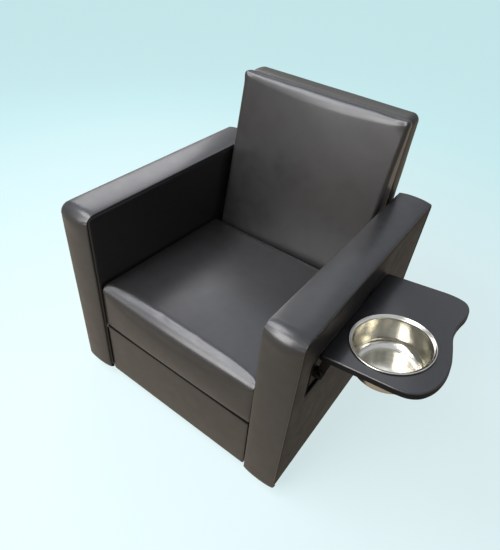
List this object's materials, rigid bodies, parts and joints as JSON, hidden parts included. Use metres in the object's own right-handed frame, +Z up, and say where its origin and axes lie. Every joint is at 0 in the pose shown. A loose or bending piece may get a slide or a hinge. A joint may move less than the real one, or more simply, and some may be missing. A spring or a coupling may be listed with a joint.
{
  "type": "pedicure chair",
  "caption": "Boxy black upholstered pedicure armchair with a reclining back, a leg rest that rises with it, and a fold-down side tray holding a lift-out steel bowl.",
  "frame": {"origin": "middle of the outline of chair and open tray, on the floor", "axes": "+Z up, -Y towards the front, +X towards the tray side"},
  "size_m": [1.0151, 0.75, 0.872],
  "materials": {
    "leather": "smooth black upholstery leatherette, semi-gloss with a fine grain",
    "leather_rear": "black upholstery leatherette on the outside rear panels",
    "timber": "sawn softwood and plywood",
    "frame_steel": "black powder coat",
    "zinc": "bright zinc plate",
    "polished_steel": "polished stainless sheet",
    "tray_board": "satin black painted board",
    "recess_black": "matt black",
    "foot_plastic": "pale moulded plastic",
    "bush_plastic": "natural nylon",
    "dust_cloth": "black non-woven dust cloth"
  },
  "bodies": {
    "root": {"left_arm_frame": "timber", "left_arm_inner_panel": "leather", "left_arm_outer_panel": "leather", "left_arm_band": "leather", "right_arm_frame": "timber", "right_arm_inner_panel": "leather", "right_arm_outer_panel": "leather", "right_arm_band": "leather", "feet": "foot_plastic", "foot_screws": "zinc", "front_stretcher": "timber", "rear_stretcher": "timber", "rear_upper_rail": "timber", "rear_panel": "leather_rear", "dust_cover": "dust_cloth", "seat_front_tube": "frame_steel", "seat_rear_tube": "frame_steel", "seat_left_tube": "frame_steel", "seat_right_tube": "frame_steel", "seat_brackets": "frame_steel", "seat_board": "timber", "seat_cushion": "leather", "recess_liner": "recess_black", "recess_backing": "timber", "front_tray_cleat": "recess_black", "rear_tray_cleat": "recess_black", "front_wall_plate": "frame_steel", "rear_wall_plate": "frame_steel", "wall_plate_screws": "zinc", "tray_pivot_bolts": "zinc", "tray_pivot_nuts": "zinc", "friction_washers": "bush_plastic", "recline_hinge_plates": "frame_steel", "recline_pivot_bolts": "zinc", "legrest_bushes": "bush_plastic"},
    "backrest": {"back_frame": "timber", "back_board": "timber", "back_cushion": "leather", "back_boxing": "leather", "back_rear_panel": "leather_rear", "left_back_lever": "frame_steel", "right_back_lever": "frame_steel", "back_lever_screws": "zinc", "rear_link_pins": "zinc"},
    "recline_links": {"left_recline_link": "frame_steel", "right_recline_link": "frame_steel"},
    "legrest": {"legrest_board": "timber", "legrest_pad": "leather", "left_legrest_lever": "frame_steel", "right_legrest_lever": "frame_steel", "legrest_pivot_pins": "zinc", "front_link_pins": "zinc"},
    "tray": {"front_tray_arm": "frame_steel", "rear_tray_arm": "frame_steel", "tray_arm_screws": "zinc", "tray_board": "tray_board"},
    "bowl": {"bowl": "polished_steel"}
  },
  "joints": [
    {"name": "backrest_recline", "type": "hinge", "parent": "root", "child": "backrest", "pos_m": [-0.12719, 0.2, 0.25], "axis": [-1, 0, 0], "range_deg": [0, 25]},
    {"name": "link_swing", "type": "hinge", "parent": "backrest", "child": "recline_links", "pos_m": [-0.12719, 0.2115, 0.18476], "axis": [-1, 0, 0], "range_deg": [-25.1, 0.6]},
    {"name": "legrest_lift", "type": "hinge", "parent": "root", "child": "legrest", "pos_m": [-0.12719, -0.349, 0.222], "axis": [-1, 0, 0], "range_deg": [0, 70]},
    {"name": "tray_fold", "type": "hinge", "parent": "root", "child": "tray", "pos_m": [0.26231, -0.0945, 0.451], "axis": [0, 1, 0], "range_deg": [0, 98.5]},
    {"name": "bowl_lift", "type": "slide", "parent": "tray", "child": "bowl", "axis": [-0.1478, 0, 0.989], "range_m": [0, 0.09]}
  ],
  "couplings": [
    {"joint": "legrest_lift", "follows": "backrest_recline", "ratio": 2.8},
    {"joint": "link_swing", "follows": "backrest_recline", "ratio": -0.98}
  ]
}
